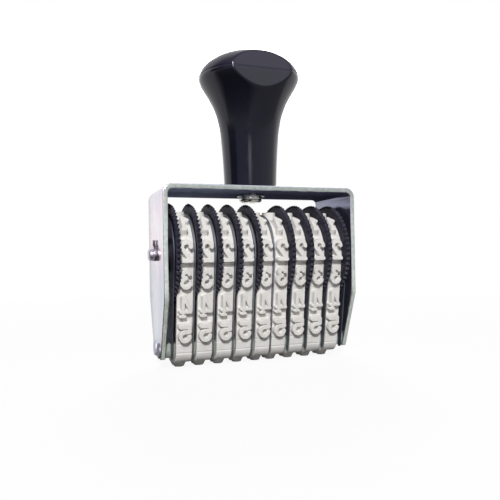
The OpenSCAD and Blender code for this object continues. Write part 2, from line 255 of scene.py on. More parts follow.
def raise_grain(tree, shader, value, depth_mm, strength):
    """Raises the shading by a noise, depth_mm from its low to its high places."""
    node = tree.nodes.new("ShaderNodeBump")
    node.inputs["Distance"].default_value = depth_mm * MM
    node.inputs["Strength"].default_value = strength
    tree.links.new(value, node.inputs["Height"])
    tree.links.new(node.outputs["Normal"], shader.inputs["Normal"])


# %% [markdown]
# ## Finishes of the frame
#
# The frame is zinc plated. Its passivated skin is almost white and drifts
# between lavender, pink and a cold green, which a slow noise through a colour
# ramp gives. The inside faces are painted dark navy, which is painted shade
# and painted reflection. Under the top plate that paint is lighter at the left
# and darkens to the right. The sheared edge is greenish, painted lighter low
# down where less light falls and greyer towards the top: painted light.
# One noise can't know where it is on the object, so those two read the place
# itself, along X and along Z.

# %% Plated sheet: outside, inside, underside and cut edge
plating, tree, shader = new_finish("zinc_plating", Metallic=1.0)
paint(
    tree, shader, noise(tree, 11, 1.0, (0.3, 1.6, 0.8)),
    (0.34, (0.60, 0.66, 0.73)), (0.45, (0.67, 0.66, 0.77)),
    (0.56, (0.84, 0.70, 0.79)), (0.68, (0.82, 0.81, 0.85)))
roughen(tree, shader, noise(tree, 1.5, 4.0), 0.14, 0.24)
raise_grain(tree, shader, noise(tree, 5, 2.0), 0.01, 0.5)

# Dark navy on the inside faces: painted shade and painted reflection.
inside_painted_shade, tree, shader = new_finish("inner_sheet_painted_shade", Metallic=0.9)
paint(
    tree, shader, noise(tree, 6, 2.0, (1.0, 0.4, 1.0)),
    (0.35, (0.22, 0.23, 0.32)), (0.65, (0.29, 0.30, 0.40)))
roughen(tree, shader, noise(tree, 0.8, 3.0), 0.16, 0.26)

# Navy under the top plate, lighter at the left and darker to the right, with no gloss: painted
# shade and painted reflection.
underside, tree, shader = new_finish("underside_painted_shade", Specular_IOR_Level=0.0)
left_to_right = spread(tree, place_along(tree, "X"), 0.0, 1.0, -0.020, 0.020)
paint(
    tree, shader, left_to_right,
    (0.00, (0.40, 0.45, 0.64)), (0.30, (0.28, 0.32, 0.46)),
    (0.50, (0.12, 0.12, 0.20)), (1.00, (0.12, 0.13, 0.21)))
roughen(tree, shader, noise(tree, 0.8, 3.0), 0.60, 0.75)

cut_edge, tree, shader = new_finish("sheared_edge", Metallic=0.4)
mottle = ramp(
    tree, noise(tree, 0.7, 3.0),
    (0.30, (0.64, 0.72, 0.66)), (0.55, (0.78, 0.86, 0.82)), (0.75, (1.0, 1.0, 1.0)))
# Lighter low down, where less light falls, and greyer at the top: painted light over the random
# mottle.
foot_to_top = spread(tree, place_along(tree, "Z"), 0.0, 1.0, 0.0, 0.036)
painted_light_by_height = ramp(
    tree, foot_to_top,
    (0.0, (1.0, 1.0, 0.95)), (0.8, (0.72, 0.73, 0.71)), (1.0, (0.50, 0.50, 0.50)))
blend = tree.nodes.new("ShaderNodeMix")
blend.data_type, blend.blend_type = "RGBA", "MULTIPLY"
MIX_SHARE, MIX_A, MIX_B, MIX_RESULT = 0, 6, 7, 2  # a Mix node's sockets for colours
blend.inputs[MIX_SHARE].default_value = 1.0
tree.links.new(mottle, blend.inputs[MIX_A])
tree.links.new(painted_light_by_height, blend.inputs[MIX_B])
tree.links.new(blend.outputs[MIX_RESULT], shader.inputs["Base Color"])
roughen(tree, shader, noise(tree, 0.4, 3.0), 0.30, 0.50)
raise_grain(tree, shader, noise(tree, 0.35, 2.0, (1, 1, 0.4)), 0.02, 0.6)
print("frame finishes:", *(finish.name for finish in (plating, inside_painted_shade, underside, cut_edge)))

# %% [markdown]
# ## Finishes of the small metal pieces
#
# The axle and the washers are turned, the separators and clips are stamped
# from sheet, the bar is cast and the insert is brass. Turning leaves marks
# round the axis, so for the axle the noise is stretched round it. Stamped
# sheet gets another colour along its rim: a painted highlight low down on the
# separators, painted shade on the clips. The rim is told from the flat side by
# how far the surface faces along the axle, which needs no map and holds for
# every stamped piece. The end separators get a darker copy of the stamped
# steel, which is painted shade.

# %% Turned steel, stamped steel, cast metal and brass
def metal(name, dark, light, rough, grain_mm, stretch=(1, 1, 1)):
    """Bare metal whose colour drifts from dark to light along its tool marks."""
    finish, tree, shader = new_finish(name, Metallic=1.0)
    marks = noise(tree, grain_mm, 3.0, stretch)
    paint(tree, shader, marks, (0.35, dark), (0.65, light))
    roughen(tree, shader, marks, *rough)
    raise_grain(tree, shader, marks, 0.004, 0.4)
    return finish


def stamped(name, face, edge, high_rim_share=0.1):
    """Stamped sheet: one colour on its faces, another that comes and goes along its edges.

    The edge colour is painted light: a painted highlight on the separators'
    lower rims, painted shade on the clip's rim. Its share is the product of
    three: how far the surface faces away from the axle's direction, a patchy
    noise, and a fade with the height, which leaves only a set share of it above
    the axle.
    """
    finish, tree, shader = new_finish(name, Metallic=0.8)
    on_rim = spread(tree, sideways(tree), 1.0, 0.0, 0.3, 0.8)
    in_patches = spread(tree, noise(tree, 5.0, 3.0), 0.2, 1.0, 0.38, 0.62)
    low_down = spread(tree, place_along(tree, "Z"), 1.0, high_rim_share, 0.010, 0.022)
    # The rim's share of the edge colour: painted highlight on separators, painted shade on the
    # clip.
    painted_rim_share = combine(tree, "MULTIPLY", on_rim, combine(tree, "MULTIPLY", in_patches, low_down))
    paint(tree, shader, painted_rim_share, (0.1, face), (0.9, edge))
    roughen(tree, shader, noise(tree, 0.6, 3.0), 0.35, 0.55)
    return finish


turned_steel = metal(
    "turned_steel", (0.54, 0.52, 0.57), (0.74, 0.72, 0.76), (0.30, 0.42), 0.25, (1, 0.1, 0.1))
plated_rivet = metal(
    "plated_rivet_steel", (0.66, 0.64, 0.72), (0.74, 0.72, 0.79), (0.62, 0.75), 0.5)
rivet_steel = metal(
    "dark_rivet_steel", (0.22, 0.22, 0.25), (0.34, 0.34, 0.37), (0.50, 0.62), 0.5)
lock_steel = metal(
    "dark_lock_washer_steel", (0.05, 0.05, 0.07), (0.60, 0.60, 0.62), (0.20, 0.35), 0.6)
zinc_screw = metal(
    "zinc_screw_steel", (0.62, 0.61, 0.55), (0.80, 0.79, 0.74), (0.18, 0.30), 0.5)
stamped_steel = stamped("dull_stamped_steel", (0.24, 0.25, 0.29), (0.36, 0.38, 0.34))
# A darker copy of the stamped steel for the end separators, which stand in shadow by the plates:
# painted shade.
shaded_end_steel = stamped("stamped_steel_painted_shade", (0.11, 0.12, 0.16), (0.16, 0.17, 0.20))
# The clip's near-black rim is painted shade, the dark gap where the clip meets the plate.
clip_steel = stamped("clip_steel", (0.80, 0.74, 0.82), (0.04, 0.03, 0.05), high_rim_share=1.0)
cast_bar, tree, shader = new_finish("cast_bar_metal", Metallic=0.4)
paint(tree, shader, noise(tree, 0.8, 3.0), (0.35, (0.48, 0.53, 0.46)), (0.65, (0.60, 0.65, 0.57)))
roughen(tree, shader, noise(tree, 0.5, 3.0), 0.28, 0.42)
brass = metal("turned_brass", (0.62, 0.45, 0.16), (0.78, 0.60, 0.26), (0.20, 0.32), 0.3)
print("metal finishes:", *(finish.name for finish in (
    turned_steel, plated_rivet, rivet_steel, lock_steel, zinc_screw,
    stamped_steel, shaded_end_steel, clip_steel, cast_bar, brass)))

# %% [markdown]
# ## Finishes of plastic and rubber
#
# The handle is glossy moulded plastic: black, with a mirror skin that has a
# faint ripple and drifts a little in tone, and above the rim line it is painted
# a little paler and bluer, a painted reflection. The wheels are a harder,
# duller plastic with a violet cast. The bands are pale vulcanised rubber: matt,
# slightly mottled, with a fine grain.

# %% Black plastics and pale rubber
handle_plastic, tree, shader = new_finish(
    "moulded_black_plastic", IOR=1.47, Specular_Tint=(0.88, 0.88, 1.0, 1.0))
# A random drift in tone, plus a paler, bluer dome above the rim line: painted reflection.
tone_and_painted_sheen = combine(
    tree, "ADD", combine(tree, "MULTIPLY", noise(tree, 8, 2.0), 0.5),
    spread(tree, place_along(tree, "Z"), 0.0, 0.5, 0.0590, 0.0600))
paint(
    tree, shader, tone_and_painted_sheen,
    (0.15, (0.003, 0.003, 0.006)), (0.35, (0.005, 0.005, 0.011)),
    (0.65, (0.009, 0.008, 0.018)), (0.85, (0.013, 0.011, 0.024)))
roughen(tree, shader, noise(tree, 2.0, 4.0), 0.11, 0.19)
raise_grain(tree, shader, noise(tree, 6.0, 1.0), 0.006, 0.35)

wheel_plastic, tree, shader = new_finish("wheel_plastic", IOR=1.33)
paint(
    tree, shader, noise(tree, 1.2, 3.0),
    (0.30, (0.017, 0.016, 0.028)), (0.70, (0.034, 0.033, 0.054)))
roughen(tree, shader, noise(tree, 0.7, 3.0), 0.50, 0.68)
raise_grain(tree, shader, noise(tree, 0.35, 2.0), 0.006, 0.5)

band_rubber, tree, shader = new_finish("band_rubber", IOR=1.45)
paint(tree, shader, noise(tree, 2.2, 4.0), (0.30, (0.68, 0.66, 0.63)), (0.70, (0.77, 0.75, 0.72)))
roughen(tree, shader, noise(tree, 0.9, 2.0), 0.62, 0.80)
raise_grain(tree, shader, noise(tree, 0.22, 3.0), 0.02, 0.5)
print("soft finishes:", handle_plastic.name, wheel_plastic.name, band_rubber.name)

# %% [markdown]
# ## The frame
#
# A sheet that is cut, bent twice and plated has rounded edges, and they are
# what draws the bright lines along it. So the frame is a rounded rectangle
# carried along the U: up the left side, round the bend, across, and down. Its
# width follows the cut of the blank, and it draws in at both ends.

# %% Carry a rounded section along the U
SHEET, BEND, EDGE = 1.0, 1.5, 0.15
HALF_WIDTH, FRAME_DEPTH, FOOT_DEPTH = 20.5, 16.4, 6.9
FRAME_TOP, FOOT_Z, TAPER_Z = AXLE_Z + 13.5, 2.1, AXLE_Z - 8.6
CORNER_STEPS, FOOT_STEPS, TAPER_STEPS, SIDE_STEPS, BEND_STEPS, TOP_STEPS = 5, 5, 14, 16, 13, 14
OUTSIDE, INSIDE, UNDERSIDE, CUT = range(4)


def frame_rings():
    """Sections of the U, each a rounded rectangle across the sheet and along y.

    A point of a section is the path's point, plus its distance across the
    sheet times the path's outward direction, plus its distance along y. At
    both feet the section draws in by a quarter circle, which rounds the ends.
    """
    ease = np.linspace(0, np.pi / 2, FOOT_STEPS)
    turn_z = FRAME_TOP - SHEET / 2 - BEND
    rise = np.concatenate([
        FOOT_Z + EDGE * (1 - np.cos(ease)),
        np.linspace(FOOT_Z + EDGE, TAPER_Z, TAPER_STEPS)[1:],
        np.linspace(TAPER_Z, turn_z, SIDE_STEPS)[1:],
    ])
    bend = np.linspace(np.pi, np.pi / 2, BEND_STEPS)[1:]
    side_x = BEND + SHEET / 2 - HALF_WIDTH
    x = np.concatenate([np.full(len(rise), side_x - BEND), side_x + BEND * np.cos(bend)])
    z = np.concatenate([rise, turn_z + BEND * np.sin(bend)])
    angle = np.concatenate([np.full(len(rise), np.pi), bend])
    draw_in = np.zeros(len(x))
    draw_in[:FOOT_STEPS] = EDGE * (1 - np.sin(ease))
    below_taper = np.clip((TAPER_Z - z) / (TAPER_Z - FOOT_Z), 0, 1)
    depth = FRAME_DEPTH - (FRAME_DEPTH - FOOT_DEPTH) * below_taper
    span = np.linspace(x[-1], -x[-1], TOP_STEPS)[1:-1]
    flat = np.ones(len(span))
    x = np.concatenate([x, span, -x[::-1]])
    z = np.concatenate([z, flat * z[-1], z[::-1]])
    angle = np.concatenate([angle, flat * np.pi / 2, np.pi - angle[::-1]])
    depth = np.concatenate([depth, flat * FRAME_DEPTH, depth[::-1]])
    draw_in = np.concatenate([draw_in, flat * 0, draw_in[::-1]])
    corner = np.repeat([[1, 1], [-1, 1], [-1, -1], [1, -1]], CORNER_STEPS, axis=0)
    swing = np.linspace(0, np.pi / 2, CORNER_STEPS) + np.arange(4)[:, None] * np.pi / 2
    radius = (EDGE - draw_in)[:, None]
    across = corner[:, 0] * (SHEET / 2 - EDGE) + radius * np.cos(swing.ravel())
    along_y = corner[:, 1] * (depth[:, None] / 2 - EDGE) + radius * np.sin(swing.ravel())
    return np.stack([
        x[:, None] + across * np.cos(angle)[:, None],
        along_y,
        z[:, None] + across * np.sin(angle)[:, None],
    ], -1)


rings = frame_rings()
sheet = shell("bent_frame", rings, crease=40)
around = rings.shape[1]
face = np.arange(len(sheet.data.polygons))
row, column = face // around, face % around
is_cut = np.isin(column, (CORNER_STEPS - 1, 3 * CORNER_STEPS - 1)) | (row >= len(rings) - 1)
is_inside = column == 2 * CORNER_STEPS - 1
is_above = rings[np.minimum(row, len(rings) - 1), 0, 2] > FRAME_TOP - SHEET
# The inside faces and the underside take the finishes with painted shade.
kind = np.where(is_inside, np.where(is_above, UNDERSIDE, INSIDE), OUTSIDE)
kind = np.where(is_cut, CUT, kind)
sheet.data.polygons.foreach_set("material_index", kind.astype(np.int32))
dress(sheet, "frame", "stamp", "plated_frame", plating, inside_painted_shade, underside, cut_edge)

# %% [markdown]
# ## The handle
#
# A lathe turning would give the handle at once, but its head has a flat on the
# front. In polar coordinates that is easy: along each direction the surface
# lies at the nearer of the turned radius and the flat's plane. A smooth
# minimum of the two leaves the softly rounded edge of a moulding.

# %% Handle radius and flat
HANDLE_H, HEAD_R, DOME_H = 29.2, 10.65, 5.7
NECK_R, NECK_TAPER, FLARE_LENGTH = 5.5, 0.035, 6.7
RIM_H = HANDLE_H - DOME_H
FLAT_DIST, FLAT_LEAN, UPPER_LEAN, FLAT_EDGE = 8.55, np.radians(2.9), np.radians(5.5), 0.22
CREASE_RISE, CREASE_DEPTH, CREASE_WIDTH = 0.25, 0.10, 0.14
FLAT_LINE_RISE, FLAT_LINE_DEPTH, FLAT_LINE_WIDTH = 0.1, 0.05, 0.12
HEIGHT_ROWS, DOME_ROWS, ROUND_COLUMNS = 150, 90, 320
POLE_R = 0.02


def bell(distance, width):
    """1 at distance 0 and next to nothing at twice the width: exp(-(distance / width) squared)."""
    return np.exp(-(distance / width) ** 2)


def neck_radius(z):
    """Slim cone that flares out to the head: an ease of an exponential in the height."""
    share = np.exp((z - RIM_H) / FLARE_LENGTH)
    gain = HEAD_R - NECK_R - NECK_TAPER * RIM_H
    return NECK_R + NECK_TAPER * z + gain * (3 * share ** 2 - 2 * share ** 3)


def smooth_min(a, b, width):
    """The smaller of two arrays, rounded where they cross."""
    share = np.clip(0.5 + 0.5 * (b - a) / width, 0, 1)
    return b * (1 - share) + a * share - width * share * (1 - share)


def handle_rings():
    """Height rows by angle columns, the radius being the smooth minimum of turning and flat.

    The flat leans back a little more above the rim line, so a faint line
    crosses it there. A crease runs round the rim, and the neck's foot is
    rounded by a few rows whose radius is drawn in.
    """
    foot = np.array([0.0, 0.0, 0.08, 0.25])
    foot_in = np.array([1.2, 0.25, 0.07, 0.0])
    neck = np.linspace(0.5, RIM_H, HEIGHT_ROWS)
    lift = np.linspace(0, np.pi / 2, DOME_ROWS)[1:-1]
    z = np.concatenate([foot, neck, RIM_H + DOME_H * np.sin(lift)])
    radius = np.concatenate([neck_radius(foot) - foot_in, neck_radius(neck), HEAD_R * np.cos(lift)])
    radius = radius - CREASE_DEPTH * bell(z - RIM_H - CREASE_RISE, CREASE_WIDTH)
    angle = np.linspace(0, 2 * np.pi, ROUND_COLUMNS, endpoint=False)[None, :]
    z, radius = z[:, None], radius[:, None]
    grazing, far_off = 0.05, 1e3
    facing = np.maximum(np.cos(angle), grazing)
    rise = z - RIM_H
    lean = np.where(rise > 0, UPPER_LEAN, FLAT_LEAN)
    plane = FLAT_DIST / np.cos(FLAT_LEAN) - rise * np.tan(lean)
    plane = plane - FLAT_LINE_DEPTH * bell(rise - FLAT_LINE_RISE, FLAT_LINE_WIDTH)
    to_flat = np.where(facing > grazing, plane / facing, far_off)
    radius = np.maximum(smooth_min(radius + 0 * angle, to_flat, FLAT_EDGE), POLE_R)
    return np.stack([
        radius * np.sin(angle), -radius * np.cos(angle), FRAME_TOP + z + 0 * angle], -1)


domed_handle = shell("domed_handle", handle_rings(), crease=50)
dress(domed_handle, "handle", "stamp", "handle", handle_plastic)

# %% [markdown]
# ## The thumbwheels
#
# A wheel is a turned profile whose outermost points follow rounded teeth. The
# profile goes out over the boss and the dished web to the ring, over the rim,
# back down to the hub that carries the band, and home through the bore. Five
# wheels stand left of their band, and the other four are the mirror image.

# %% Wheel profile and teeth
UNITS, LEFT_UNITS, UNIT_PITCH, UNIT_LENGTH, STACK_START = 9, 5, 4.1, 3.8, -18.3
WHEEL_R, ROOT_R, TEETH, TOOTH_COLUMNS, TOOTH_POWER = 10.35, 9.75, 58, 10, 1.6
WHEEL_T, BULGE, HUB_R, BORE_R = 0.6, 0.3, 6.4, 1.3


def wheel_rings(unit):
    """The profile swept round x; the part above the tooth root shrinks between teeth.

    A tooth is a rounded hump: its height is the cosine of a quarter turn times
    the place across it, from -1 to 1, to the power TOOTH_POWER. It also swells
    by BULGE over the band, and its sides draw in towards the tip.
    """
    boss_and_web = [
        (0, BORE_R), (0, 4.25), (0.05, 4.38), (0.2, 4.5), (0.2, 8.6), (0.15, 8.75), (0.03, 8.85),
        (0, 8.92),
    ]
    ring_and_tip = [
        (0, ROOT_R), (0.02, 9.95), (0.12, 10.15), (0.24, WHEEL_R), (0.38, WHEEL_R), (0.58, 10.18),
        (WHEEL_T + BULGE, 10.0), (WHEEL_T + 0.7 * BULGE, 9.85), (WHEEL_T, ROOT_R),
    ]
    hub = [
        (WHEEL_T, HUB_R + 0.2), (WHEEL_T + 0.02, HUB_R + 0.05), (WHEEL_T + 0.1, HUB_R),
        (UNIT_LENGTH - 0.1, HUB_R), (UNIT_LENGTH, HUB_R - 0.1), (UNIT_LENGTH, BORE_R),
    ]
    profile = np.array(boss_and_web + ring_and_tip + hub)
    rings = turned(profile, TEETH * TOOTH_COLUMNS, "x", loop=True)
    across = (np.arange(TEETH * TOOTH_COLUMNS) % TOOTH_COLUMNS) / TOOTH_COLUMNS * 2 - 1
    height = np.cos(across * np.pi / 2) ** TOOTH_POWER
    over = np.clip(profile[:, 1] - ROOT_R, 0, None)[:, None]
    factor = (profile[:, 1:2] - over * (1 - height)) / profile[:, 1:2]
    rings[..., 1:] *= factor[..., None]
    swollen = (over > 0) & (rings[..., 0] > WHEEL_T)
    rings[..., 0] = np.where(swollen, WHEEL_T + (rings[..., 0] - WHEEL_T) * height, rings[..., 0])
    if unit > LEFT_UNITS:
        rings[..., 0] = UNIT_LENGTH - rings[..., 0]
    rings[..., 0] += STACK_START + UNIT_PITCH * (unit - 1)
    rings[..., 2] += AXLE_Z
    return rings


for unit in range(1, UNITS + 1):
    thumbwheel = shell(f"toothed_wheel_{unit}", wheel_rings(unit), loop=True, crease=32)
    dress(thumbwheel, f"wheel_{unit}", f"wheel_{unit}", "wheel", wheel_plastic)

# %% [markdown]
# ## The path of a band
#
# A band lies round the hub, runs straight down both sides and turns round the
# two corners of the platen bar. A function from distance along the band to a
# point, its direction and its outward normal is all that the rest needs.

# %% Distance along the band to a place
BAND_T, RELIEF = 1.0, 1.2
BELT_R, NOSE_R, NOSE_Y = 6.45, 1.6, 2.1
NOSE_Z = AXLE_Z - RELIEF - BAND_T - NOSE_R
NEUTRAL = BAND_T / 2
CENTRES = np.hypot(NOSE_Y, NOSE_Z)
LEAN = np.arctan2(-NOSE_Z, NOSE_Y) + np.arccos((BELT_R - NOSE_R) / CENTRES)
LENGTHS = np.cumsum([
    NOSE_Y, (NOSE_R + NEUTRAL) * (LEAN + np.pi / 2),
    np.sqrt(CENTRES ** 2 - (BELT_R - NOSE_R) ** 2), (BELT_R + NEUTRAL) * (np.pi / 2 - LEAN),
])
HALF_BAND = LENGTHS[3]


def band_path(s):
    """Inner surface of the band at distance s: forward, up, and the outward normal's angle.

    s is 0 under the middle of the bar and grows towards the front. The back
    half is the mirror image of the front half.
    """
    s = (s + HALF_BAND) % (2 * HALF_BAND) - HALF_BAND
    side, s = np.sign(s) + (s == 0), np.abs(s)
    on_nose = -np.pi / 2 + (s - LENGTHS[0]) / (NOSE_R + NEUTRAL)
    on_hub = LEAN + (s - LENGTHS[2]) / (BELT_R + NEUTRAL)
    flat, hub = s < LENGTHS[0], s > LENGTHS[2]
    angle = np.select([flat, s < LENGTHS[1], s < LENGTHS[2]], [-np.pi / 2, on_nose, LEAN], on_hub)
    slide = np.clip(s - LENGTHS[1], 0, LENGTHS[2] - LENGTHS[1])
    radius = np.where(hub, BELT_R, NOSE_R)
    forward = np.where(hub, 0, NOSE_Y - slide * np.sin(LEAN)) + radius * np.cos(angle)
    upward = np.where(hub, 0, slide * np.cos(LEAN) - NOSE_Z) + radius * np.sin(angle)
    forward = np.where(flat, s, forward)
    upward = np.where(flat, -NOSE_Z - NOSE_R, upward)
    return side * forward, upward, np.where(side > 0, angle, np.pi - angle)


print("band length", round(2 * HALF_BAND, 2), "mm along its middle")

# %% [markdown]
# ## The raised figures
#
# Each figure is a few strokes, straight or round. They could be curves made
# solid and cut into the band, but then the skin would have seams. Instead, the
# distance from a point of the band to the nearest stroke gives the height
# there, and one formula makes every figure.

# %% Distance to a stroke
def to_line(x, y, x0, y0, x1, y1):
    """Distance from points to a straight stroke's middle line."""
    dx, dy = x1 - x0, y1 - y0
    t = np.clip(((x - x0) * dx + (y - y0) * dy) / (dx * dx + dy * dy), 0, 1)
    return np.hypot(x - x0 - t * dx, y - y0 - t * dy)


BOW, BOW_Y, SMALL_BOW, STEM = 0.90, 0.75, 0.825, 1.65


def to_arc(x, y, cy, start, end, radius=BOW):
    """Distance to a round stroke about (0, cy), from start to end in degrees."""
    middle, half = np.radians((start + end) / 2), np.radians((end - start) / 2)
    turn = (np.arctan2(y - cy, x) - middle + np.pi) % (2 * np.pi) - np.pi
    turn = np.clip(turn, -half, half) + middle
    return np.hypot(x - radius * np.cos(turn), y - cy - radius * np.sin(turn))


# %% [markdown]
# ## The shapes of the figures
#
# A figure is a function of x to the right and y upwards, read the right way
# round, in millimetres from its middle. It takes the smallest of the distances
# to its strokes. A number added to a distance makes that stroke thinner, and a
# number taken off makes it thicker, as the bar of the 5 is.

# %% Strokes of the figures
def six(x, y):
    """A round bowl below, a stem on the left and a bow on top; turned round it is a nine."""
    return np.minimum.reduce([
        to_arc(x, y, -BOW_Y, 0, 360), to_line(x, y, -BOW, -BOW_Y, -BOW, BOW_Y),
        to_arc(x, y, BOW_Y, 20, 180)])


FIGURES = {
    "0": lambda x, y: np.minimum.reduce([
        to_arc(x, y, BOW_Y, 0, 180), to_arc(x, y, -BOW_Y, 180, 360),
        to_line(x, y, -BOW, -BOW_Y, -BOW, BOW_Y), to_line(x, y, BOW, -BOW_Y, BOW, BOW_Y)]),
    "1": lambda x, y: np.minimum.reduce([
        to_line(x, y, 0.05, -STEM, 0.05, STEM), to_line(x, y, 0.05, STEM, -0.85, 0.9),
        to_line(x, y, -0.2, -STEM, 0.3, -STEM)]),
    "2": lambda x, y: np.minimum.reduce([
        to_arc(x, y, 0.95, -30, 180), to_line(x, y, 0.779, 0.50, -BOW, -STEM),
        to_line(x, y, -BOW, -STEM, BOW, -STEM)]),
    "3": lambda x, y: np.minimum(
        to_arc(x, y, 1.02, -90, 160, 0.64), to_arc(x, y, -0.49, -160, 90, 0.87)),
    "4": lambda x, y: np.minimum.reduce([
        to_line(x, y, 0.55, -STEM, 0.55, STEM) + 0.08,
        to_line(x, y, 0.12, -1.92, 1.08, -1.92) + 0.14,
        to_line(x, y, -0.98, -1.05, 1.0, -1.05) + 0.12,
        to_line(x, y, -1.02, -1.03, 0.25, STEM) + 0.08]),
    "5": lambda x, y: np.minimum.reduce([
        to_line(x, y, -0.8, 1.22, BOW, 1.22) - 0.08, to_line(x, y, -0.8, 1.22, -BOW, 0.2),
        to_line(x, y, -BOW, 0.2, -0.2, 0.1), to_arc(x, y, -BOW_Y, -178, 110)]),
    "6": six,
    "7": lambda x, y: np.minimum(
        to_line(x, y, -BOW, STEM, BOW, STEM), to_line(x, y, BOW, STEM, -0.35, -STEM)),
    "8": lambda x, y: np.minimum(
        to_arc(x, y, SMALL_BOW, 0, 360, SMALL_BOW), to_arc(x, y, -SMALL_BOW, 0, 360, SMALL_BOW)),
    "9": lambda x, y: six(-x, -y),
    "-": lambda x, y: to_line(x, y, -BOW, 0, BOW, 0),
}
print("figures:", *FIGURES)

# %% [markdown]
# ## The bands
#
# A band is a strip bent into a loop. Its skin is a grid: distance along it by
# a walk round its section. Only the outer side knows about the figures. The
# rubber bends between figures and not under them, so a figure's face is a flat
# touching the curve, and the skin is blended from the curved band to that flat
# by the figure's height. A figure has full height on its strokes, then a wall
# with a little slope and a soft skirt at its foot, as a mould needs so that
# rubber comes out of it. The figure at the very bottom is worn, and its walls
# slope far more.

# %% Skin of a band
PITCH, ROW_SHIFT = 5.15, 0.95
PLACES = {
    0: "6", 2: "5", 3: "4", 4: "3", 5: "2", 6: "1", 7: "0", -1: "7", -2: "8", -3: "9", -4: "-",
}
WORN_PLACE = 0
STROKE, WALL, WORN_WALL, SKIRT, SKIRT_H = 0.80, 0.10, 0.60, 0.20, 0.10
BAND_W, BAND_GAP, LIP, FIGURE_X, FIGURE_WIDTH = 3.15, 0.05, 0.04, 1.53, 0.96
BAND_ROWS, FACE_COLUMNS = 1100, 45
MOULD_LINES, LINE_DEPTH, LINE_WIDTH = (5.0, 6.8, 27.85), 0.10, 0.09


def band_rings(unit):
    """Grid of the band: rows along it, columns round its section, in millimetres.

    outer = base + height * (flat - base), where base is the curved outside,
    flat is the tangent at the figure's middle raised by the full relief, and
    height falls from 1 on a stroke over a steep wall and then a gentle skirt.
    The worn figure's wall is WORN_WALL wide, half of it inside the stroke's
    edge. Thin lines across the band, where the mould's parts met, are sunk by
    a narrow bell curve.
    """
    s = np.linspace(-HALF_BAND, HALF_BAND, BAND_ROWS, endpoint=False)
    across = np.concatenate([
        [0, LIP / 3], np.linspace(LIP, BAND_W - LIP, FACE_COLUMNS), [BAND_W - LIP / 3, BAND_W]])
    lip = np.concatenate([[LIP, LIP / 3], np.zeros(FACE_COLUMNS), [LIP / 3, LIP]])
    place = np.round((s + ROW_SHIFT) / PITCH).astype(int)
    middle = place * PITCH - ROW_SHIFT
    height = np.zeros((BAND_ROWS, len(across)))
    read_x = (FIGURE_X - across[None, :]) / FIGURE_WIDTH
    for spot, figure in PLACES.items():
        rows = np.nonzero(place == spot)[0]
        gap = FIGURES[figure](read_x, (s[rows] - middle[rows])[:, None])
        slope = WORN_WALL if spot == WORN_PLACE else WALL
        outside = gap - STROKE / 2 + (slope - WALL) / 2
        wall = (1 - SKIRT_H) * np.clip(outside / slope, 0, 1)
        height[rows] = 1 - wall - SKIRT_H * np.clip((outside - slope) / SKIRT, 0, 1)

    y0, z0, angle0 = band_path(s)
    y1, z1, angle1 = band_path(middle)
    base = np.stack([y0 + BAND_T * np.cos(angle0), z0 + BAND_T * np.sin(angle0)], -1)
    out = np.stack([np.cos(angle1), np.sin(angle1)], -1)
    along = np.stack([-np.sin(angle1), np.cos(angle1)], -1)
    flat = np.stack([y1, z1], -1) + out * (BAND_T + RELIEF) + along * (s - middle)[:, None]
    outer = base[:, None] + height[..., None] * (flat - base)[:, None]
    line = LINE_DEPTH * sum(bell(s - at, LINE_WIDTH) for at in MOULD_LINES)
    sunk = lip[None, :] + line[:, None] * (1 - height)
    outward = np.stack([np.cos(angle0), np.sin(angle0)], -1)[:, None]
    outer -= sunk[..., None] * outward

    under = np.array([BAND_W, BAND_W - LIP, LIP, 0])
    under_lip = np.array([LIP, 0, 0, LIP])
    inner = np.stack([y0, z0], -1)[:, None] + under_lip[None, :, None] * outward
    section = np.concatenate([outer, inner], 1)
    x = np.concatenate([across, under])
    beside_wheel = WHEEL_T + BAND_GAP if unit <= LEFT_UNITS else 0
    left = STACK_START + UNIT_PITCH * (unit - 1) + beside_wheel
    return np.stack([
        np.broadcast_to(left + x, section.shape[:2]), -section[..., 0], AXLE_Z + section[..., 1],
    ], -1)


for unit in range(1, UNITS + 1):
    rubber = shell(f"figured_band_{unit}", band_rings(unit), loop=True, crease=180)
    dress(rubber, f"band_{unit}", "stamp", "band", band_rubber)

# %% [markdown]
# ## The axle
#
# A turned rod with a small chamfer at each end and a groove for each clip. The
# CAD rod has the grooves but square ends, and the chamfer catches the light.
# The profile is written from the end to the middle, and its mirror image makes
# the other half.

# %% Turn the axle
AXLE_R, AXLE_HALF, GROOVE_START, GROOVE_END, GROOVE_R = 1.25, 22.0, 20.55, 21.15, 1.0
half = np.array([
    (AXLE_HALF, POLE_R), (AXLE_HALF, 0.95), (AXLE_HALF - 0.06, 1.05), (AXLE_HALF - 0.25, AXLE_R),
    (GROOVE_END, AXLE_R), (GROOVE_END, GROOVE_R), (GROOVE_START, GROOVE_R),
    (GROOVE_START, AXLE_R), (10.0, AXLE_R),
])
rod = turned(np.vstack([half * (-1, 1), half[::-1]]), 64, "x")
rod[..., 2] += AXLE_Z
dress(shell("turned_axle", rod), "axle", "stamp", "steel_axle", turned_steel)

# %% [markdown]
# ## The pieces that stay as they are
#
# Clips, washers, screw, insert, separators, rivets and bar have their true
# shapes in the CAD model already, so they only get their finish.

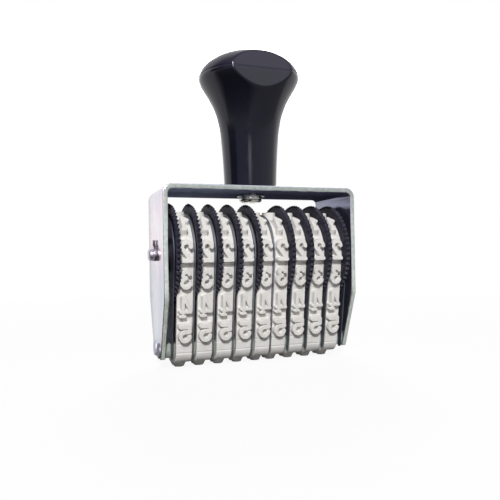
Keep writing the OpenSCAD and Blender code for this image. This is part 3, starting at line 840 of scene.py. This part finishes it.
# %% Finish the remaining nodes
# The clips' black rims are painted shade, and the separators' light lower rims a painted highlight.
KEPT = {
    "axle_clip_left": clip_steel, "axle_clip_right": clip_steel,
    "end_washer_left": turned_steel, "end_washer_right": turned_steel,
    "handle_screw": zinc_screw, "lock_washer": lock_steel,
    "handle_insert": brass, "platen_bar": cast_bar,
    # The end separators take the darker copy of the stamped steel: painted shade.
    "end_separator_left": shaded_end_steel, "end_separator_right": shaded_end_steel,
}
KEPT |= {f"separator_{number}": stamped_steel for number in range(1, UNITS)}
for side in ("left", "right"):
    KEPT |= {f"rivet_{side}_front": rivet_steel, f"rivet_{side}_back": plated_rivet}
for node, finish in KEPT.items():
    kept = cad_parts[node]
    kept.data.materials.clear()
    kept.data.materials.append(finish)
print("finished", len(KEPT), "nodes in place")

# %% [markdown]
# ## The floor
#
# Only the shading of the floor shows, so one large square is enough. It lies a
# hair below the foot of the object, so that no two faces lie in one plane.

# %% Floor
FLOOR_HALF, FLOOR_DROP = 4, 0.00002
floor_mesh = bpy.data.meshes.new("floor")
floor_mesh.from_pydata([
    (x * FLOOR_HALF, y * FLOOR_HALF, -FLOOR_DROP) for x, y in ((-1, -1), (1, -1), (1, 1), (-1, 1))
], [], [(0, 1, 2, 3)])
floor = bpy.data.objects.new("floor", floor_mesh)
scene.collection.objects.link(floor)
print("floor:", 2 * FLOOR_HALF, "m wide")

# %% [markdown]
# ## What the floor shows
#
# The floor is white to the eye, and gloss shows it white too, but only behind
# the object, at its right front and far off. Close by it sends much less light
# up, as a set does whose background has its own lamps, and so it doesn't fill
# the shadows. A white floor under more light would wash the object out, so the
# white is mixed in by the kind of ray, and the object's shadow stays.

# %% White by the kind of ray
def seen_white(tree, shading, output, to_camera, to_gloss):
    """Mixes plain white into a shading.

    The share of white is to_camera for camera rays, and to_gloss for what gloss
    and glass show. For all other rays the shading stays as it is.
    """
    rays = tree.nodes.new("ShaderNodeLightPath")
    shiny = combine(
        tree, "MAXIMUM", rays.outputs["Is Glossy Ray"], rays.outputs["Is Transmission Ray"])
    share = combine(
        tree, "MAXIMUM", combine(tree, "MULTIPLY", rays.outputs["Is Camera Ray"], to_camera),
        combine(tree, "MULTIPLY", shiny, to_gloss))
    white = tree.nodes.new("ShaderNodeEmission")
    mix = tree.nodes.new("ShaderNodeMixShader")
    tree.links.new(share, mix.inputs["Fac"])
    tree.links.new(shading, mix.inputs[1])
    tree.links.new(white.outputs[0], mix.inputs[2])
    tree.links.new(mix.outputs[0], output.inputs["Surface"])
    return rays


# %% Floor paint
floor_paint, tree, shader = new_finish("floor_paint", Roughness=0.9, Specular_IOR_Level=0.2)
spot = tree.nodes.new("ShaderNodeTexCoord").outputs["Object"]


def measure(operation, direction=(0.0, 0.0, 0.0)):
    """Distance of a floor spot from the object, or how far it lies along a direction."""
    node = tree.nodes.new("ShaderNodeVectorMath")
    node.operation = operation
    node.inputs[1].default_value = direction
    tree.links.new(spot, node.inputs[0])
    return node.outputs["Value"]


behind = spread(tree, measure("DOT_PRODUCT", (0.136, 0.991, 0.0)), 0.0, 0.9, -0.01, 0.03)
right_front = spread(tree, measure("DOT_PRODUCT", (0.88, -0.47, 0.0)), 0.0, 0.35, 0.01, 0.05)
far = spread(tree, measure("LENGTH"), 0.0, 0.40, 0.08, 0.50)
fade = spread(tree, measure("LENGTH"), 0.90, 1.0, 0.03, 0.25)
to_gloss = combine(tree, "MAXIMUM", behind, combine(tree, "MAXIMUM", right_front, far))
rays = seen_white(tree, shader.outputs[0], tree.nodes["Material Output"], fade, to_gloss)

# The noise keeps to the ramp's grey part. A camera ray is moved up to the white
# part, and a glossy ray down to the dark end.
lighter = combine(
    tree, "ADD", spread(tree, noise(tree, 60, 1.0), 0.1, 0.4), combine(
        tree, "ADD", combine(tree, "MULTIPLY", rays.outputs["Is Camera Ray"], 0.5),
        combine(tree, "MULTIPLY", rays.outputs["Is Glossy Ray"], -0.5)))
paint(
    tree, shader, lighter,
    (0.0, (0.06, 0.06, 0.06)), (0.1, (0.24, 0.24, 0.24)), (0.48, (0.26, 0.26, 0.26)),
    (0.52, (0.95, 0.95, 0.95)), (1.0, (0.97, 0.97, 0.97)))
floor.data.materials.append(floor_paint)
print("floor paint:", floor_paint.name)

# %% [markdown]
# ## The room
#
# Gloss mirrors what stands round it, so the room is painted for the handle and
# the plated sheet: white backdrop behind, grey walls at the sides, a dark one
# at the left and a soft ceiling. It could be built of panels. A colour ramp
# over the compass direction does the same with nothing in the way of the
# camera. The room gives little light of its own, so the shadows stay deep.

# %% Room
studio = bpy.data.worlds.new("studio")
scene.world = studio
studio.use_nodes = True
tree = studio.node_tree


def toward(axis):
    """How far a ray's direction goes along an axis, from -1 to 1."""
    place = tree.nodes.new("ShaderNodeTexCoord")
    weigh = tree.nodes.new("ShaderNodeVectorMath")
    weigh.operation = "DOT_PRODUCT"
    weigh.inputs[1].default_value = axis
    tree.links.new(place.outputs["Generated"], weigh.inputs[0])
    return weigh.outputs["Value"]


# Compass of the room: 0.5 is behind the camera, below it is the left side and
# above it the right side, and both ends are straight behind the object.
bearing = combine(tree, "ARCTAN2", toward((0.941, -0.339, 0.0)), toward((-0.339, -0.941, 0.0)))
compass = combine(tree, "ADD", combine(tree, "MULTIPLY", bearing, 0.5 / np.pi), 0.5)
WALLS = (
    (-94, 1.0, 1.0), (-91, 0.08, 0.10), (-60, 0.08, 0.10), (-52, 0.42, 0.56), (-20, 0.42, 0.56),
    (-8, 0.28, 0.34), (20, 0.50, 0.54), (60, 0.66, 0.70), (113, 0.70, 0.70), (118, 1.0, 1.0))
BACKDROP = ((-94, 1, 1), (-91, 0, 0), (115, 0, 0), (119, 1, 1))


def round_the_room(stretches):
    """A ramp over the compass: stretches are (degrees, level of red and green, level of blue)."""
    return ramp(tree, compass, *[
        ((degrees + 180) / 360, (level, level, blue)) for degrees, level, blue in stretches])


ceiling = tree.nodes.new("ShaderNodeMix")
ceiling.data_type = "RGBA"
overhead = spread(tree, toward((0.0, 0.0, 1.0)), 0.0, 1.0, 0.30, 0.90)
tree.links.new(overhead, ceiling.inputs[MIX_SHARE])
tree.links.new(round_the_room(WALLS), ceiling.inputs[MIX_A])
ceiling.inputs[MIX_B].default_value = (0.60, 0.60, 0.62, 1)
room_light = tree.nodes["Background"]
tree.links.new(ceiling.outputs[MIX_RESULT], room_light.inputs["Color"])
backdrop = round_the_room(BACKDROP)
rays = seen_white(tree, room_light.outputs[0], tree.nodes["World Output"], 1.0, backdrop)
FILL, GLOSSY_FILL = 0.12, 0.88
fill = combine(tree, "MULTIPLY", rays.outputs["Is Glossy Ray"], GLOSSY_FILL)
tree.links.new(combine(tree, "ADD", fill, FILL), room_light.inputs["Strength"])
print("room:", len(WALLS), "stops round the walls,", len(BACKDROP), "round the backdrop")

# %% [markdown]
# ## Lamps
#
# The main lamp stands behind the camera and above it, and it is small, so that
# the figures throw short dark shadows. A large weak one from the right front is
# the sheen on the handle's flat. A low window in front and a small high lamp
# add the smaller gleams, and a large lamp behind lights the back, which the
# others leave dark.

# %% Lamps
def soft_lamp(name, place, aim, size, power):
    """A square lamp at place, facing aim, size metres wide and of the given power in watts."""
    lamp = bpy.data.objects.new(name, bpy.data.lights.new(name, "AREA"))
    lamp.data.size = size
    lamp.data.energy = power
    back = np.array(place) - np.array(aim)
    back /= np.linalg.norm(back)
    side = np.cross((0, 0, 1), back)
    side /= np.linalg.norm(side)
    turned_to = np.eye(4)
    turned_to[:3, :3] = np.column_stack([side, np.cross(back, side), back])
    turned_to[:3, 3] = place
    lamp.matrix_world = Matrix(turned_to.tolist())
    scene.collection.objects.link(lamp)
    print(name, "gives", power, "W")


soft_lamp("softbox_above_camera", (-0.147, -0.408, 0.272), (0, 0, 0.02), 0.06, 2.28)
soft_lamp("softbox_right_front", (0.151, -0.419, 0.28), (0, 0, 0.055), 0.25, 0.19)
soft_lamp("low_window", (-0.20, -0.555, 0.14), (0, 0, 0.045), 0.12, 0.16)
soft_lamp("softbox_behind", (0.17, 0.48, 0.30), (0, 0, 0.03), 0.30, 1.9)
soft_lamp("small_high_lamp", (-0.13, -0.35, 0.40), (0, 0, 0.06), 0.03, 0.05)
